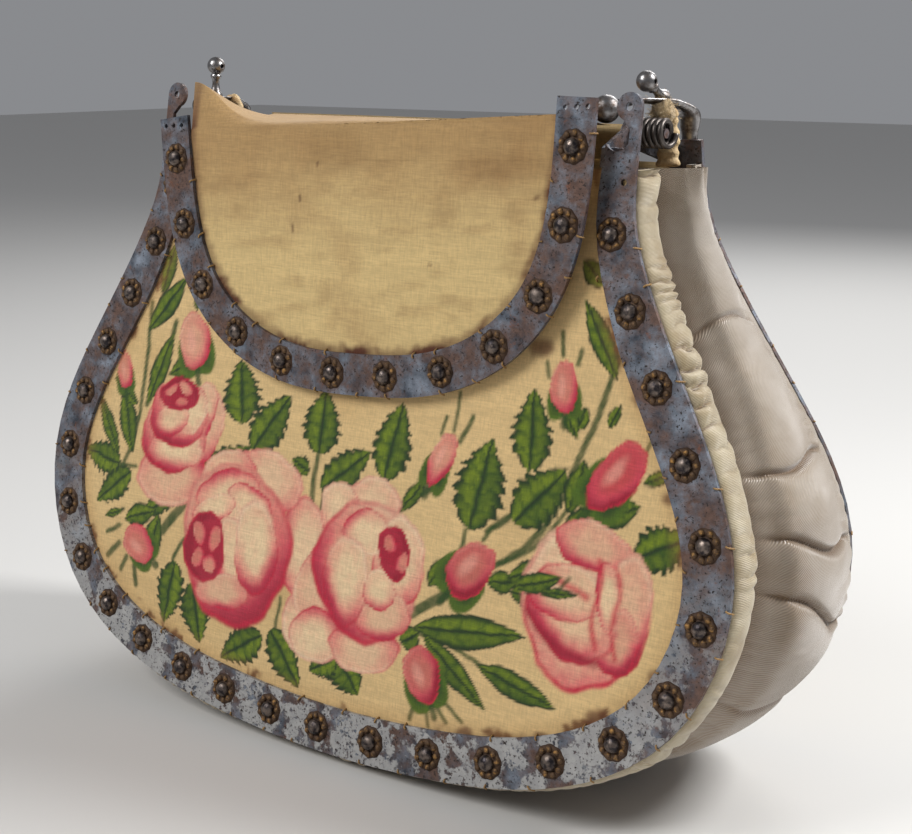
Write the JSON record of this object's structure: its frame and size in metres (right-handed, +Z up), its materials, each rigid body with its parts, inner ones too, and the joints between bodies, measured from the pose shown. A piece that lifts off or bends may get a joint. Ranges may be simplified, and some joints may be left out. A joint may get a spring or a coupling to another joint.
{
  "type": "reticule",
  "caption": "Framed reticule with two easel-leaning horseshoe frames, painted rose cloth faces, a puffed satin gusset, ruched silk edging and a framed front flap on corner hinges",
  "frame": {"origin": "the middle of the bag's footprint, on the surface it stands on", "axes": "+X to the right of the painted front, +Y to the back, +Z up"},
  "size_m": [0.2045, 0.0736, 0.1582],
  "materials": {
    "blued_steel": "matt",
    "rusted_rosette": "matt",
    "dark_rivet": "polished",
    "painted_cloth": "matt",
    "plain_cloth": "matt",
    "kid_lining": "matt",
    "ribbed_silk": "satin",
    "satin": "satin",
    "polished_steel": "polished",
    "kid_leather": "matt",
    "wadding": "matt"
  },
  "bodies": {
    "root": {"back_frame": "blued_steel", "back_rosettes": "rusted_rosette", "back_rivets": "dark_rivet", "back_panel": "plain_cloth", "back_lining": "kid_lining", "back_binding": "ribbed_silk", "left_back_lug": "blued_steel", "right_back_lug": "blued_steel", "left_hinge_pin": "polished_steel", "right_hinge_pin": "polished_steel", "left_hinge_spring": "polished_steel", "right_hinge_spring": "polished_steel", "left_bow": "polished_steel", "right_bow": "polished_steel", "left_finial": "polished_steel", "right_finial": "polished_steel", "left_lining_tab": "kid_leather", "right_lining_tab": "kid_leather", "right_wadding": "wadding", "gusset": "satin", "gusset_lining": "kid_lining"},
    "front": {"front_frame": "blued_steel", "front_rosettes": "rusted_rosette", "front_rivets": "dark_rivet", "front_panel": "painted_cloth", "front_lining": "kid_lining", "front_binding": "ribbed_silk", "left_front_lug": "blued_steel", "right_front_lug": "blued_steel"},
    "flap": {"flap_frame": "blued_steel", "flap_rosettes": "rusted_rosette", "flap_rivets": "dark_rivet", "flap_panel": "plain_cloth", "flap_web": "plain_cloth"}
  },
  "joints": [
    {"name": "front_swing", "type": "hinge", "parent": "root", "child": "front", "pos_m": [0, 0, 0.1436], "axis": [1, 0, 0], "range_deg": [0, 10], "deforming": ["gusset", "gusset_lining"]},
    {"name": "flap_lift", "type": "hinge", "parent": "root", "child": "flap", "pos_m": [0, 0.0105, 0.1447], "axis": [-1, 0, 0], "range_deg": [0, 90]}
  ]
}
